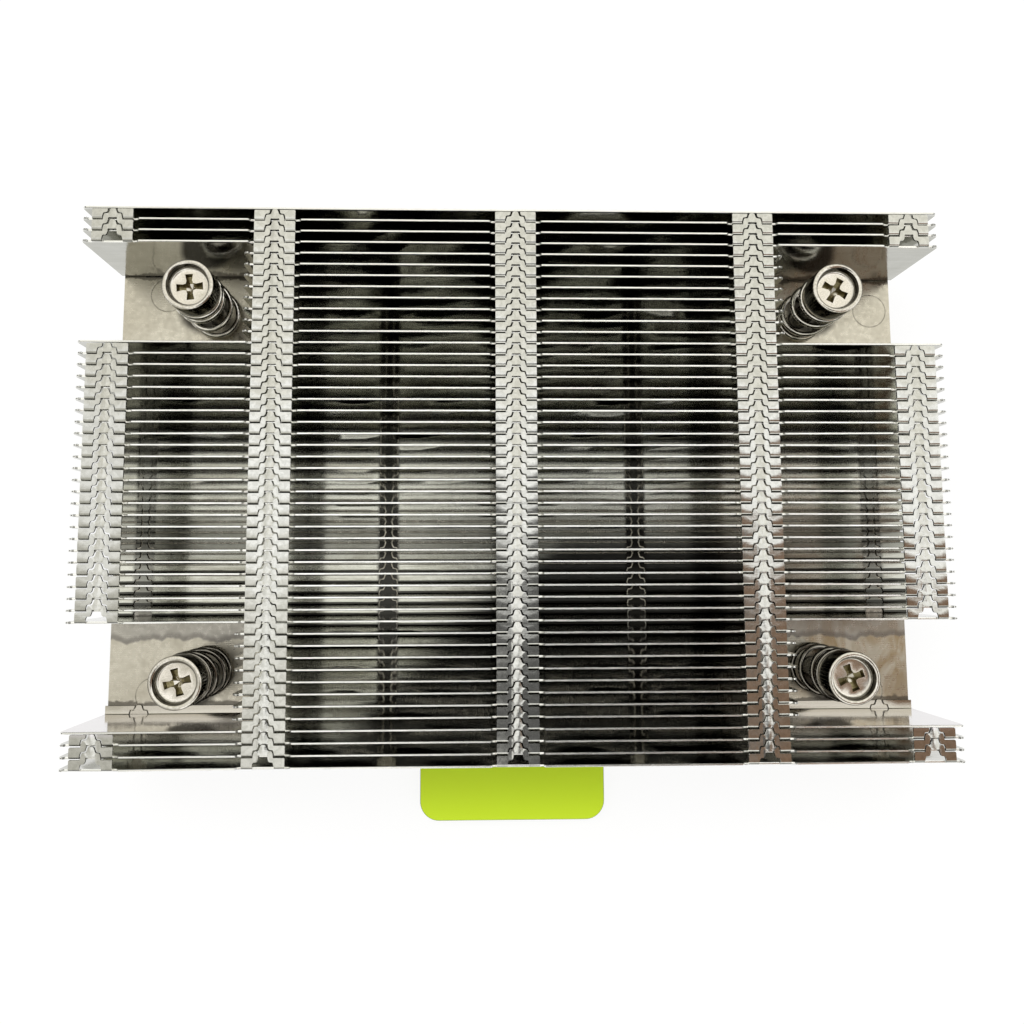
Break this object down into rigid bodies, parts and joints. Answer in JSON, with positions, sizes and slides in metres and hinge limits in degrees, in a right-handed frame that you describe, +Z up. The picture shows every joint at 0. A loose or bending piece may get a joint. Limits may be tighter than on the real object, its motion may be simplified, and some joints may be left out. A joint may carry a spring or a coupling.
{
  "type": "passive cpu heatsink",
  "caption": "Low passive heatsink: plated base with a contact pad, a stack of interlocked sheet-metal fins, spring-loaded captive screws at its corners and a pull tab.",
  "frame": {"origin": "centre of the processor contact face", "axes": "+X along the fins, +Y across the stack towards the fin without tabs and away from the pull tab, +Z up from the processor"},
  "size_m": [0.1252, 0.092, 0.0236],
  "materials": {
    "plated_base": "milled and nickel plated",
    "plated_sheet": "bright nickel plated sheet",
    "plated_steel": "turned, nickel plated",
    "spring_steel": "dark drawn wire",
    "green_film": "lime green film"
  },
  "bodies": {
    "heatsink": {"base_plate": "plated_base", "pull_tab": "green_film", "fin_01": "plated_sheet", "fin_02": "plated_sheet", "fin_03": "plated_sheet", "fin_04": "plated_sheet", "fin_05": "plated_sheet", "fin_06": "plated_sheet", "fin_07": "plated_sheet", "fin_08": "plated_sheet", "fin_09": "plated_sheet", "fin_10": "plated_sheet", "fin_11": "plated_sheet", "fin_12": "plated_sheet", "fin_13": "plated_sheet", "fin_14": "plated_sheet", "fin_15": "plated_sheet", "fin_16": "plated_sheet", "fin_17": "plated_sheet", "fin_18": "plated_sheet", "fin_19": "plated_sheet", "fin_20": "plated_sheet", "fin_21": "plated_sheet", "fin_22": "plated_sheet", "fin_23": "plated_sheet", "fin_24": "plated_sheet", "fin_25": "plated_sheet", "fin_26": "plated_sheet", "fin_27": "plated_sheet", "fin_28": "plated_sheet", "fin_29": "plated_sheet", "fin_30": "plated_sheet", "fin_31": "plated_sheet", "fin_32": "plated_sheet", "fin_33": "plated_sheet", "fin_34": "plated_sheet", "fin_35": "plated_sheet", "fin_36": "plated_sheet", "fin_37": "plated_sheet", "fin_38": "plated_sheet", "fin_39": "plated_sheet", "fin_40": "plated_sheet", "fin_41": "plated_sheet", "fin_42": "plated_sheet", "fin_43": "plated_sheet", "fin_44": "plated_sheet", "fin_45": "plated_sheet", "fin_46": "plated_sheet", "fin_47": "plated_sheet", "fin_48": "plated_sheet", "fin_49": "plated_sheet"},
    "far_left_spring": {"spring_far_left": "spring_steel"},
    "far_left_screw": {"screw_far_left": "plated_steel"},
    "far_right_spring": {"spring_far_right": "spring_steel"},
    "far_right_screw": {"screw_far_right": "plated_steel"},
    "near_left_spring": {"spring_near_left": "spring_steel"},
    "near_left_screw": {"screw_near_left": "plated_steel"},
    "near_right_spring": {"spring_near_right": "spring_steel"},
    "near_right_screw": {"screw_near_right": "plated_steel"}
  },
  "joints": [
    {"name": "far_left_press", "type": "slide", "parent": "heatsink", "child": "far_left_spring", "axis": [0, 0, -1], "range_m": [0, 0.004], "stiffness_N_per_m": 4000, "springref_m": -0.002, "deforming": ["spring_far_left"]},
    {"name": "far_left_turn", "type": "hinge", "parent": "far_left_spring", "child": "far_left_screw", "pos_m": [-0.047, 0.028, 0.0196], "axis": [0, 0, 1], "continuous": true},
    {"name": "far_right_press", "type": "slide", "parent": "heatsink", "child": "far_right_spring", "axis": [0, 0, -1], "range_m": [0, 0.004], "stiffness_N_per_m": 4000, "springref_m": -0.002, "deforming": ["spring_far_right"]},
    {"name": "far_right_turn", "type": "hinge", "parent": "far_right_spring", "child": "far_right_screw", "pos_m": [0.047, 0.028, 0.0196], "axis": [0, 0, 1], "continuous": true},
    {"name": "near_left_press", "type": "slide", "parent": "heatsink", "child": "near_left_spring", "axis": [0, 0, -1], "range_m": [0, 0.004], "stiffness_N_per_m": 4000, "springref_m": -0.002, "deforming": ["spring_near_left"]},
    {"name": "near_left_turn", "type": "hinge", "parent": "near_left_spring", "child": "near_left_screw", "pos_m": [-0.047, -0.028, 0.0196], "axis": [0, 0, 1], "continuous": true},
    {"name": "near_right_press", "type": "slide", "parent": "heatsink", "child": "near_right_spring", "axis": [0, 0, -1], "range_m": [0, 0.004], "stiffness_N_per_m": 4000, "springref_m": -0.002, "deforming": ["spring_near_right"]},
    {"name": "near_right_turn", "type": "hinge", "parent": "near_right_spring", "child": "near_right_screw", "pos_m": [0.047, -0.028, 0.0196], "axis": [0, 0, 1], "continuous": true}
  ]
}
